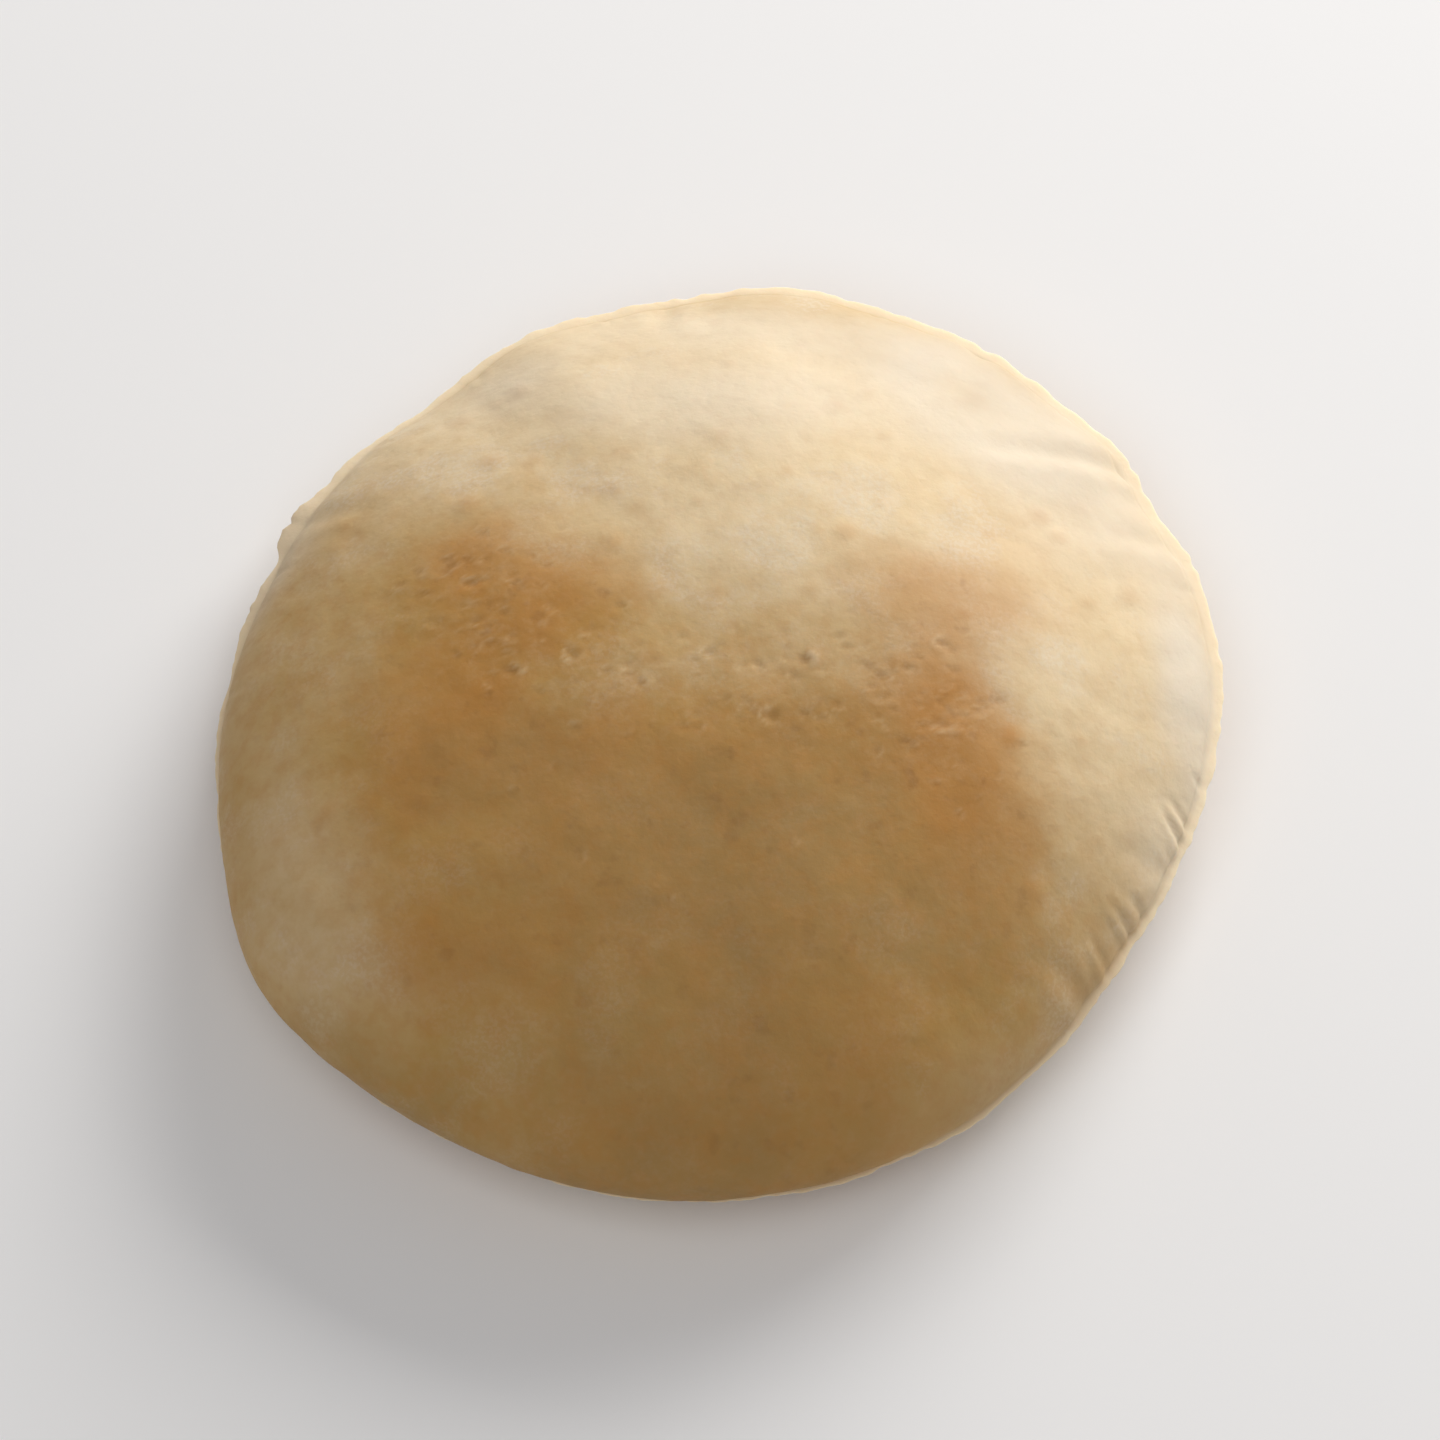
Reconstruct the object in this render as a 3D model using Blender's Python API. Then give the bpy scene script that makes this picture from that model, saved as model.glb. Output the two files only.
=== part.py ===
"""Pita bread: one puffed round of pocket flatbread, lying on its flat underside.

Metres, +Z up. The origin is on the table, under the middle of the round. The crown and the
underside are two skins that meet in a thin seam all the way round.
"""

import math

import bmesh
import bpy
from mathutils import Vector, noise

# Driving dimensions of the round.
LONG_RADIUS = 0.0770
SHORT_RADIUS = 0.0711
LONG_HEADING = math.radians(52)
HEIGHT = 0.0415

# Corners and flats of the oval outline: heading and spread in degrees, rise in metres.
OUTLINE_SWELLS = (
    (6, 14, 0.0009),
    (30, 6, -0.0016),
    (48, 8, -0.0013),
    (66, 8, -0.0009),
    (84, 7, 0.0010),
    (113, 7, 0.0011),
    (127, 7, -0.0010),
    (-32, 9, -0.0012),
    (-68, 22, 0.0014),
    (-120, 16, -0.0012),
    (-146, 15, 0.0020),
)

# The seam rises where the round is slack, and tucks in low on its full side.
FULL_HEADING = math.radians(247)
SEAM_HEIGHT_SLACK = 0.0135
SEAM_HEIGHT_FULL = 0.0105
SIDE_BULGE = 0.0230
BULGE_FOCUS = 3

# How square the crown's profile is, on the slack side and on the full side.
CROWN_CORNER_SLACK, CROWN_CORNER_FULL = 2.05, 2.25
CROWN_POWER_SLACK, CROWN_POWER_FULL = 0.84, 0.61

# The underside: a flat foot that turns up to the seam.
FOOT_REACH = 0.56
FOOT_CORNER = 2.3
FOOT_POWER = 0.62

# The seam's lip, the edge within which both skins move straight outwards, the flaps where the
# lip stands out more (heading and spread in degrees, reach), and the groove beside the crown.
LIP_REACH_SLACK, LIP_REACH_FULL = 0.0014, 0.0009
LIP_THICKNESS = 0.0011
SEAM_EDGE = 0.0012
LIP_FLAPS = (
    (152, 8, 0.0008),
    (168, 5, 0.0004),
    (-38, 6, 0.0005),
)
GROOVE_OFFSET = 0.0030
GROOVE_WIDTH = 0.0016
GROOVE_DEPTH_SLACK, GROOVE_DEPTH_FULL = 0.0004, 0.0009

# Low domes in the crown where steam pushed the skin up: x, y, width, rise.
CROWN_SWELLS = (
    (-0.026, 0.012, 0.016, 0.0014),
    (0.036, 0.010, 0.014, 0.0012),
    (0.040, -0.022, 0.015, 0.0011),
    (-0.022, -0.042, 0.016, 0.0009),
    (0.016, -0.044, 0.014, 0.0006),
    (-0.044, -0.018, 0.013, 0.0008),
    (0.006, 0.044, 0.014, 0.0008),
    (-0.004, -0.030, 0.009, -0.0008),
)

# Creases that run in from the seam: heading, slant from straight in, length, depth.
CREASES = (
    (math.radians(35.5), math.radians(-27), 0.026, 0.0011),
    (math.radians(24), math.radians(-12), 0.013, 0.0005),
    (math.radians(58), math.radians(14), 0.015, 0.0005),
    (math.radians(96), math.radians(-10), 0.012, 0.0004),
    (math.radians(151), math.radians(16), 0.014, 0.0005),
    (math.radians(-20), math.radians(22), 0.010, 0.0005),
    (math.radians(-40), math.radians(24), 0.010, 0.0005),
)
CREASE_WIDTH = 0.0022
CREASE_OVERRUN = -0.3
SHOULDER_OFFSET = 0.0044
SHOULDER_SHARE = 0.4

# Slow waves of the whole skin.
WAVE_LENGTH = 0.034
WAVE_HEIGHT = 0.0009
WAVE_START = Vector((3.1, 7.4, 1.9))
LIP_WAVE_LENGTH = 0.011
LIP_WAVE_SHARE = 0.45

# The mesh: squares along each side of the ball's six faces, and rings of the underside.
BALL_CELLS = 38
UNDERSIDE_RINGS = 8
NORMAL_STEP = 0.01

CRUST_COLOUR = (0.66, 0.44, 0.20, 1.0)
CRUST_ROUGHNESS = 0.62


def mix(a, b, share):
    return a + (b - a) * share


def bump(distance, width):
    """1 at no distance, falling smoothly to nothing over about twice the width."""
    return math.exp(-((distance / width) ** 2))


def turn_between(heading, other):
    """The turn from other to heading, from -pi to pi."""
    return math.remainder(heading - other, math.tau)


def fullness(heading):
    """1 on the side where the round is blown up full, 0 on the opposite, slack side."""
    return 0.5 + 0.5 * math.cos(heading - FULL_HEADING)


def rim_radius(heading):
    """From the middle to the seam: an oval with soft corners and a few short flats."""
    along = LONG_RADIUS * math.sin(heading - LONG_HEADING)
    across = SHORT_RADIUS * math.cos(heading - LONG_HEADING)
    radius = LONG_RADIUS * SHORT_RADIUS / math.hypot(along, across)
    for middle, spread, rise in OUTLINE_SWELLS:
        off = turn_between(heading, math.radians(middle))
        radius += rise * bump(off, math.radians(spread))
    return radius


def seam_height(heading):
    return mix(SEAM_HEIGHT_SLACK, SEAM_HEIGHT_FULL, fullness(heading))


def body_point(direction):
    """The plain pillow: the point of its surface in this direction from inside the round."""
    heading = math.atan2(direction.y, direction.x)
    reach = min(1.0, math.hypot(direction.x, direction.y))
    full = fullness(heading)
    seam = seam_height(heading)
    out = rim_radius(heading) * reach
    if direction.z >= 0:
        corner = mix(CROWN_CORNER_SLACK, CROWN_CORNER_FULL, full)
        power = mix(CROWN_POWER_SLACK, CROWN_POWER_FULL, full)
        z = mix(seam, HEIGHT, (1 - reach**corner) ** power)
        out += SIDE_BULGE * full**BULGE_FOCUS * reach**2 * direction.z
    else:
        rise = max(0.0, reach - FOOT_REACH) / (1 - FOOT_REACH)
        z = seam * (1 - (1 - rise**FOOT_CORNER) ** FOOT_POWER)
    return Vector((out * math.cos(heading), out * math.sin(heading), z))


def outward(direction):
    """The pillow's outward normal in this direction."""
    side = direction.orthogonal().normalized()
    up = direction.cross(side)
    here = body_point(direction)
    along = body_point((direction + NORMAL_STEP * side).normalized()) - here
    across = body_point((direction + NORMAL_STEP * up).normalized()) - here
    return along.cross(across).normalized()


def distance_to_seam(point, heading):
    """How far a point of the pillow lies from the seam, across the rim."""
    out = math.hypot(point.x, point.y) - rim_radius(heading)
    return math.hypot(out, point.z - seam_height(heading))


def crease_relief(point):
    """The creases: valleys that start at the seam and die out towards the middle."""
    relief = 0.0
    for heading, slant, length, depth in CREASES:
        start = rim_radius(heading) * Vector((math.cos(heading), math.sin(heading)))
        run = Vector((-math.cos(heading + slant), -math.sin(heading + slant)))
        offset = Vector((point.x, point.y)) - start
        along = offset.dot(run) / length
        across = offset.dot(Vector((-run.y, run.x)))
        if CREASE_OVERRUN < along < 1.0:
            fade = 1 - max(0.0, along) ** 2
            valley = bump(across, CREASE_WIDTH)
            shoulders = bump(abs(across) - SHOULDER_OFFSET, CREASE_WIDTH)
            relief += depth * fade * (SHOULDER_SHARE * shoulders - valley)
    return relief


def crown_relief(point, seam_distance, heading):
    """What the crown's skin adds to the pillow: swells, creases and the rim's groove."""
    relief = crease_relief(point)
    for x, y, width, rise in CROWN_SWELLS:
        relief += rise * bump(math.hypot(point.x - x, point.y - y), width)
    depth = mix(GROOVE_DEPTH_SLACK, GROOVE_DEPTH_FULL, fullness(heading))
    return relief - depth * bump(seam_distance - GROOVE_OFFSET, GROOVE_WIDTH)


def lip_reach(heading):
    """How far the seam's lip stands out: uneven, as two skins pressed together are."""
    place = Vector((math.cos(heading), math.sin(heading), 0.0)) * LONG_RADIUS
    wave = noise.noise(place / LIP_WAVE_LENGTH + WAVE_START)
    reach = mix(LIP_REACH_SLACK, LIP_REACH_FULL, fullness(heading))
    for middle, spread, rise in LIP_FLAPS:
        off = turn_between(heading, math.radians(middle))
        reach += rise * bump(off, math.radians(spread))
    return reach * (1 + LIP_WAVE_SHARE * wave)


def skin_point(direction):
    """The finished surface in this direction: the pillow, its relief and the seam's lip."""
    point = body_point(direction)
    heading = math.atan2(direction.y, direction.x)
    seam_distance = distance_to_seam(point, heading)
    on_table = direction.z < 0 and point.z <= 0.0
    if on_table:
        return point
    relief = WAVE_HEIGHT * noise.noise(point / WAVE_LENGTH + WAVE_START)
    if direction.z > 0:
        relief += crown_relief(point, seam_distance, heading)
    else:
        relief *= point.z / seam_height(heading)
    lip = lip_reach(heading) * bump(seam_distance, LIP_THICKNESS)
    outwards = Vector((math.cos(heading), math.sin(heading), 0.0))
    level = bump(seam_distance, SEAM_EDGE)
    rising = outward(direction).lerp(outwards, level).normalized()
    return point + relief * rising + lip * outwards


def upper_ball(form):
    """Half a ball of even square cells, whose open edge is its equator."""
    bmesh.ops.create_cube(form, size=2.0)
    cuts = BALL_CELLS - 1
    bmesh.ops.subdivide_edges(form, edges=form.edges[:], cuts=cuts, use_grid_fill=True)
    below = [corner for corner in form.verts if corner.co.z < -0.5 / BALL_CELLS]
    bmesh.ops.delete(form, geom=below, context="VERTS")
    for corner in form.verts:
        even = (math.tan(side * math.pi / 4) for side in corner.co)
        corner.co = Vector(even).normalized()


def add_underside(form):
    """Rings that lead from the open edge in to the flat foot, and the foot itself."""
    edge = [side for side in form.edges if side.is_boundary]
    for ring in range(1, UNDERSIDE_RINGS + 1):
        slope = math.acos(FOOT_REACH) * ring / UNDERSIDE_RINGS
        added = bmesh.ops.extrude_edge_only(form, edges=edge)["geom"]
        edge = [item for item in added if isinstance(item, bmesh.types.BMEdge) and item.is_boundary]
        for corner in {corner for side in edge for corner in side.verts}:
            level = Vector((corner.co.x, corner.co.y, 0.0)).normalized()
            corner.co = math.cos(slope) * level - math.sin(slope) * Vector((0, 0, 1))
    bmesh.ops.holes_fill(form, edges=edge, sides=len(edge))


def centre_on_table(form):
    """Moves the round so that the origin is under the middle of its outline."""
    xs = [corner.co.x for corner in form.verts]
    ys = [corner.co.y for corner in form.verts]
    middle = Vector(((min(xs) + max(xs)) / 2, (min(ys) + max(ys)) / 2, 0.0))
    bmesh.ops.translate(form, verts=form.verts[:], vec=-middle)


def crust_material():
    material = bpy.data.materials.new("baked_crust")
    material.use_nodes = True
    shader = material.node_tree.nodes["Principled BSDF"]
    shader.inputs["Base Color"].default_value = CRUST_COLOUR
    shader.inputs["Roughness"].default_value = CRUST_ROUGHNESS
    shader.inputs["Metallic"].default_value = 0.0
    material.diffuse_color = CRUST_COLOUR
    return material


def build_pita(collection):
    """The whole bread as one solid: a ball whose corners are moved onto the baked form."""
    form = bmesh.new()
    upper_ball(form)
    add_underside(form)
    for corner in form.verts:
        corner.co = skin_point(corner.co.normalized())
    centre_on_table(form)
    bmesh.ops.recalc_face_normals(form, faces=form.faces[:])
    mesh = bpy.data.meshes.new("pita")
    form.to_mesh(mesh)
    form.free()
    mesh.materials.append(crust_material())
    mesh.shade_smooth()
    pita = bpy.data.objects.new("pita", mesh)
    collection.objects.link(pita)
    return pita


def clear_scene():
    for item in list(bpy.data.objects):
        bpy.data.objects.remove(item)


def main():
    clear_scene()
    collection = bpy.data.collections.new("pita_bread")
    bpy.context.scene.collection.children.link(collection)
    build_pita(collection)


if __name__ == "__main__":
    main()
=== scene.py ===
"""A puffed round of pita bread in a plain studio.

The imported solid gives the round's size and place. This script gives it its crust: the same
form on a finer mesh, the small relief of baked dough, and procedural crust materials.
"""

import math
import random

import bmesh
import bpy
import numpy as np
from bpy.props import FloatProperty, FloatVectorProperty, IntProperty, PointerProperty
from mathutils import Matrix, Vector, noise


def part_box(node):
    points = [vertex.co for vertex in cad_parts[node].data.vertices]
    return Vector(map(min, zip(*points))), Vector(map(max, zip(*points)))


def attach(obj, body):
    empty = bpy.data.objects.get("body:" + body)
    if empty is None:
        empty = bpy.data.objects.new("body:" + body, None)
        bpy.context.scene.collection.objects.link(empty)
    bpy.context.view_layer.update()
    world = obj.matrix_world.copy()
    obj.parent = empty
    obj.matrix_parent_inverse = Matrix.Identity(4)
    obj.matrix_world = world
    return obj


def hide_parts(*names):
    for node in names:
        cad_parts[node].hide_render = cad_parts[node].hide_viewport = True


bl_info = {
    "name": "Pita Bread",
    "version": (1, 0, 0),
    "blender": (4, 5, 0),
    "location": "3D View > Sidebar > Pita",
    "description": "Bakes a puffed round of pita bread and sets up the studio that shows it",
    "category": "Add Mesh",
}

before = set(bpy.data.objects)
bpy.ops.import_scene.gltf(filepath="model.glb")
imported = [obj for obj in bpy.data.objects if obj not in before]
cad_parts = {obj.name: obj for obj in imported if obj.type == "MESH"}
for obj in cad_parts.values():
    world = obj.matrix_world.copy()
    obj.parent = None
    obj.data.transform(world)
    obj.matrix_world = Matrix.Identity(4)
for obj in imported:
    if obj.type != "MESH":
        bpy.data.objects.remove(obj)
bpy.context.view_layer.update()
LOWEST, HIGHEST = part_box("pita")

# Where noise starts that names no start of its own.
WAVE_START = Vector((3.1, 7.4, 1.9))

# The round's corners and flats: heading and spread in degrees, rise in metres.
OUTLINE_SWELLS = (
    (6, 14, 0.0009),
    (30, 6, -0.0016),
    (48, 8, -0.0013),
    (66, 8, -0.0009),
    (84, 7, 0.0010),
    (113, 7, 0.0011),
    (127, 7, -0.0010),
    (-32, 9, -0.0012),
    (-68, 22, 0.0014),
    (-120, 16, -0.0012),
    (-146, 15, 0.0020),
)

# Low domes and hollows of the crown: x, y, width, rise.
CROWN_SWELLS = (
    (-0.026, 0.012, 0.016, 0.0014),
    (0.036, 0.010, 0.014, 0.0012),
    (0.040, -0.022, 0.015, 0.0011),
    (-0.022, -0.042, 0.016, 0.0009),
    (0.016, -0.044, 0.014, 0.0006),
    (-0.044, -0.018, 0.013, 0.0008),
    (0.006, 0.044, 0.014, 0.0008),
    (-0.004, -0.030, 0.009, -0.0008),
)

# Creases that run in from the seam: heading and slant in degrees, length, depth.
CREASES = (
    (35.5, -27, 0.026, 0.0011),
    (24, -12, 0.013, 0.0005),
    (58, 14, 0.015, 0.0005),
    (96, -10, 0.012, 0.0004),
    (151, 16, 0.014, 0.0005),
    (-20, 22, 0.010, 0.0005),
    (-40, 24, 0.010, 0.0005),
)

# Where the seam's lip stands out more: heading and spread in degrees, reach.
LIP_FLAPS = (
    (152, 8, 0.0008),
    (168, 5, 0.0004),
    (-38, 6, 0.0005),
    (150, 3, 0.0006),
    (156, 1.8, -0.0007),
    (162, 2.6, 0.0006),
    (172, 3, -0.0004),
)

# Short pinches where the skin is gathered into the seam: heading and slant in degrees,
# length, depth.
PINCHES = (
    (-7.5, -20, 0.0022, 0.00022),
    (-13.2, -26, 0.0044, 0.00034),
    (-15.6, -28, 0.0052, 0.00046),
    (-18.4, -24, 0.0030, 0.00018),
    (-26.4, -9, 0.0032, 0.00034),
    (-29.3, -8, 0.0050, 0.00042),
    (-31.6, -10, 0.0032, 0.00018),
    (-35.0, -10, 0.0044, 0.00026),
    (-37.6, -12, 0.0040, 0.00022),
    (18.0, 12, 0.0036, 0.00016),
    (46.0, 18, 0.0044, 0.00020),
    (71.0, -14, 0.0040, 0.00016),
    (104.0, 16, 0.0040, 0.00018),
    (121.0, -12, 0.0046, 0.00020),
    (137.0, 20, 0.0044, 0.00022),
    (159.0, 14, 0.0042, 0.00022),
    (176.0, -16, 0.0036, 0.00018),
)

# How strongly the side bulge gathers on the full side.
BULGE_FOCUS = 3

# The crown's profile, on the slack side and on the full side.
CROWN_CORNERS = (2.05, 2.25)
CROWN_POWERS = (0.84, 0.61)

# The underside: a flat foot that turns up to the seam.
FOOT_REACH = 0.56
FOOT_CORNER = 2.3
FOOT_POWER = 0.62

# The folds' widths and shares, how far they overrun the seam, and their shoulders' share.
CREASE_WIDTH, CREASE_SHARE = 0.0019, 0.6
PINCH_WIDTH, PINCH_SHARE = 0.0006, 0.8
FOLD_OVERRUN = -0.3
SHOULDER_SHARE = 0.4

# The groove between lip and crown, its depth on the slack and on the full side, and the strip
# along the seam where the crown's relief fades in.
GROOVE_OFFSET = 0.0012
GROOVE_WIDTH = 0.0006
GROOVE_DEPTHS = (0.00014, 0.0004)
FADE_IN = 0.0013

# The notch that a fold leaves in the lip: for each metre of its depth, at most, and its spread.
NOTCH_PER_DEPTH = 500
NOTCH_MOST = 0.22
NOTCH_SPREAD = 0.011

# The lip's raggedness: share and size of its waves.
LIP_WAVES = (
    (0.45, 0.011),
    (0.40, 0.0030),
    (0.18, 0.0014),
)

# The lip's thickness on the crown's and on the underside's skin, how much its flaps add to it,
# and how far it hangs.
LIP_THICKNESSES = (0.00035, 0.0008)
FLAP_THICKNESS = 0.5
LIP_DROP = 0.12

# At the seam the relief moves both skins level outwards. Between these distances from it, the
# move turns to each skin's own normal.
SEAM_EDGE = (0.0002, 0.0022)

# The skin's fine lumps: height, size and where their noise starts.
FINE_LUMPS = (
    (0.00016, 0.0065, Vector((9.0, 1.0, 4.0))),
    (0.00007, 0.0026, Vector((2.0, 8.0, 5.0))),
)
GRAIN_LUMPS = (0.00005, 0.0016, Vector((7.0, 2.0, 6.0)))

# The wrinkles that run in at the rim: height, spacing and start, how far in their strip lies and
# how wide it is, the circle that their noise follows, how slowly it changes on the way in, and
# their share under the seam.
WRINKLE_HEIGHT, WRINKLE_SPACING = 0.00011, 0.0042
WRINKLE_START = Vector((6.0, 3.0, 8.0))
WRINKLE_OFFSET, WRINKLE_REACH = 0.006, 0.009
WRINKLE_RADIUS = 0.075
WRINKLE_STRETCH = 0.12
WRINKLE_UNDER = 0.7

# The slow waves' size, and the height over the table from which the underside's relief is full.
WAVE_SIZE = 0.034
TABLE_CLEARANCE = 0.0025

# Toasted patches of the crown: x, y, half length, half width, turn in degrees, strength. The broad
# row over the middle of the front is partly painted shade.
TOAST_PATCHES = (
    (-0.028, 0.010, 0.017, 0.010, -10, 0.66),
    (-0.039, 0.016, 0.009, 0.008, 30, 0.50),
    (-0.033, 0.020, 0.010, 0.006, 0, 0.30),
    (-0.035, 0.001, 0.012, 0.009, 10, 0.62),
    (-0.043, -0.008, 0.012, 0.014, 30, 0.40),
    (0.034, 0.010, 0.015, 0.008, -5, 0.55),
    (0.038, -0.010, 0.007, 0.008, 10, 0.22),
    (0.042, 0.021, 0.008, 0.008, 0, 0.16),
    (0.035, -0.020, 0.0115, 0.020, 12, 0.90),
    (0.018, -0.019, 0.012, 0.008, 0, 0.20),
    # Partly toasted skin, partly painted shade over the front half, away from the key light.
    (-0.004, -0.031, 0.043, 0.026, 0, 0.58),
    (-0.004, -0.017, 0.026, 0.008, 4, 0.35),
    (-0.036, -0.015, 0.014, 0.010, 10, 0.62),
    (-0.002, -0.072, 0.032, 0.012, 3, 0.55),
    (0.060, -0.042, 0.010, 0.006, 57, 0.36),
    (-0.038, -0.047, 0.014, 0.009, -20, 0.40),
    (0.018, -0.056, 0.016, 0.010, 10, 0.30),
)

# Duller patches, in the same way: partly drier baked skin, partly painted shade. They darken the
# middle of the front, its lower edge, the left flange and the back rim that faces the key light.
DULL_AND_SHADE_PATCHES = (
    # Partly drier skin, partly painted shade over the shallow hollow in the middle of the front.
    (0.002, -0.031, 0.038, 0.022, 0, 0.72),
    (-0.033, -0.016, 0.014, 0.010, 10, 0.45),
    (0.020, -0.018, 0.012, 0.008, 0, 0.20),
    (0.040, -0.040, 0.018, 0.013, 0, 0.46),
    (-0.004, -0.064, 0.033, 0.016, 0, 0.50),
    # These two darken the front's lower edge: painted shade where the side turns under.
    (-0.048, -0.067, 0.030, 0.008, -38, 0.70),
    (-0.010, -0.080, 0.036, 0.008, 0, 0.70),
    # Painted shadow on the left flange.
    (-0.071, 0.030, 0.018, 0.005, 66, 0.60),
    # These three darken the back rim where it faces the key light: painted shade.
    (0.030, 0.064, 0.044, 0.011, -24, 0.35),
    (0.054, 0.044, 0.030, 0.012, -48, 0.29),
    (0.070, 0.010, 0.024, 0.006, 84, 0.10),
)

# Paler, floury patches of the crown, in the same way. The broad one behind the middle is painted
# light, where the light falls more strongly.
PALE_PATCHES = (
    (0.003, -0.003, 0.021, 0.008, -4, 0.30),
    (-0.061, -0.036, 0.013, 0.023, 28, 0.44),
    # Painted light: brightens the crown behind its middle, where the light falls more strongly.
    (0.003, 0.021, 0.025, 0.016, 0, 0.85),
    (-0.068, -0.003, 0.006, 0.022, 5, 0.20),
    (-0.058, 0.010, 0.008, 0.014, 0, 0.20),
)

# Where dry flour lies as a thin white film, in the same way. The broad row behind the middle is
# partly flour, partly painted light.
FLOUR_PATCHES = (
    # Partly flour, partly painted light behind the middle of the crown.
    (0.008, 0.047, 0.032, 0.011, 0, 0.38),
    (0.070, 0.008, 0.0055, 0.024, 6, 0.62),
    (0.049, 0.043, 0.015, 0.030, 42, 0.54),
    (0.036, -0.062, 0.016, 0.006, 35, 0.07),
    (-0.030, 0.055, 0.010, 0.007, 25, 0.32),
    (0.012, 0.062, 0.036, 0.009, -8, 0.34),
    (0.067, -0.019, 0.006, 0.012, -18, 0.22),
    (-0.066, 0.030, 0.006, 0.014, -24, 0.22),
)

# Where the skin is grainy with small popped bubbles, in the same way.
GRAINY_PATCHES = (
    (-0.034, 0.010, 0.012, 0.013, 0, 0.80),
    (-0.012, -0.004, 0.022, 0.010, -4, 1.00),
    (0.015, -0.007, 0.022, 0.011, -8, 0.90),
    (0.031, -0.009, 0.013, 0.014, 0, 0.70),
)

# The largest popped bubbles of the crown: x, y, radius, depth.
PITS = (
    (-0.036, 0.012, 0.0023, 0.00026),
    (-0.040, 0.017, 0.0019, 0.00018),
    (-0.035, 0.005, 0.0019, 0.00018),
    (-0.030, -0.004, 0.0026, 0.00024),
    (-0.021, -0.002, 0.0024, 0.00022),
    (-0.016, -0.005, 0.0020, 0.00020),
    (-0.011, -0.007, 0.0022, 0.00018),
    (-0.001, -0.002, 0.0022, 0.00020),
    (0.013, -0.003, 0.0025, 0.00024),
    (0.008, -0.012, 0.0024, 0.00022),
    (0.018, 0.001, 0.0020, 0.00018),
    (0.024, -0.005, 0.0024, 0.00022),
    (0.033, 0.001, 0.0023, 0.00020),
    (0.033, -0.012, 0.0025, 0.00024),
    (-0.007, -0.041, 0.0018, 0.00012),
    (-0.030, -0.024, 0.0019, 0.00012),
    (0.012, -0.031, 0.0018, 0.00010),
    (-0.020, -0.034, 0.0017, 0.00010),
)

# Blisters that steam raised in the skin, up to this share of the way to the seam.
BLISTER_COUNT = 120
BLISTER_SEED = 7
BLISTER_SPREAD = 0.93
BLISTER_RADII = (0.0012, 0.0030)
BLISTER_HEIGHTS = (0.00005, 0.00019)
BLISTER_LOWEST = 0.5

# Smaller popped ones, strewn over the grainy part.
POPPED_COUNT = 170
POPPED_SPREAD = 0.55
POPPED_RADII = (0.0013, 0.0020)
POPPED_DEPTHS = (0.00007, 0.00014)

# What all the popped ones share: relief against their depth, length against width, the width of
# the hollow against the radius, and the depth at which its mask is full.
POPPED_RISE = 1.15
POPPED_STRETCH = 1.35
HOLLOW_WIDTH = 0.42
PITS_DEEPEST = 0.00026

# Their torn edge: where it lies and how wide it is against the radius, its height against the
# depth, how far round it stands up, how ragged it is, and where the spot starts to fade out.
TORN_OFFSET, TORN_WIDTH = 0.62, 0.17
TORN_RISE = 0.6
TORN_SIDE = (-0.1, 0.9)
TORN_RAGGED = 0.34
RAGGED_SIZE, RAGGED_START = 0.0011, Vector((3.0, 9.0, 2.0))
SPOT_FADE = 0.8

# How every soft patch fades: full within the first share of its oval, gone at the second.
PATCH_FADE = (0.15, 1.5)

# The raggedness of the toasted patches, how much the blisters' tops are toasted, and the
# underside's blotches: middle, swing, size and start, and how ragged they are.
TOAST_WAVES = ((0.26, 0.014, WAVE_START), (0.20, 0.006, Vector((5.0, 5.0, 1.0))))
TOAST_ON_TOPS = 0.35
UNDER_TOAST = (0.42, 0.42, 0.030, Vector((1.0, 2.0, 9.0)))
UNDER_RAGGED = 0.5

# The other masks' noise: how ragged the patches are, size and start.
FILM_WAVES = (0.3, 0.012, Vector((8.0, 6.0, 3.0)))
PALE_WAVES = (0.35, 0.022, Vector((4.0, 4.0, 4.0)))
DULL_AND_SHADE_WAVES = (0.3, 0.009)
GRAIN_WAVES = (0.3, 0.008)

# Flour on the lip's flaps: the flap on which it is full, its width and its share; and the
# underside's, as middle and swing.
FLAP_FULL, FLAP_FILM_WIDTH, FLAP_FILM = 0.0012, 0.0016, 0.15
UNDER_FILM = (0.16, 0.24)

# The pale back, partly paler crust and partly painted light on the side towards the key light: its
# heading, from where to where it rises, its strength, and how much the way out and the unevenness
# count.
BACK_HEADING = math.radians(60)
BACK_RISE = (-0.002, 0.050)
BACK_STRENGTH = 0.95
BACK_OUT = 0.4
BACK_UNEVEN = 0.006

# The pale rim: strength, width, and from which to which fullness it ends at the front, which leaves
# the front edge darker as painted shade; and the underside's, as strength and width at the seam,
# middle and swing.
RIM_STRENGTH, RIM_WIDTH = 0.36, 0.008
FRONT_FULLNESS = (0.60, 0.92)
UNDER_RIM, UNDER_RIM_WIDTH = 0.75, 0.014
UNDER_PALLOR = (0.25, 0.3)

# What the materials read from the mesh.
MASKS = ("toast", "pallor_and_painted_light", "seam", "film", "dull_and_painted_shade", "grain", "hollow", "flake")

# The lip's pale line: its width, and how the flaps widen and weaken it; the weakening is painted
# shadow on the flaps.
LINE_WIDTH = 0.0006
LINE_PAINTED_SHADOW = 450
LINE_PAINTED_SHADOW_MOST = 0.6


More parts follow.
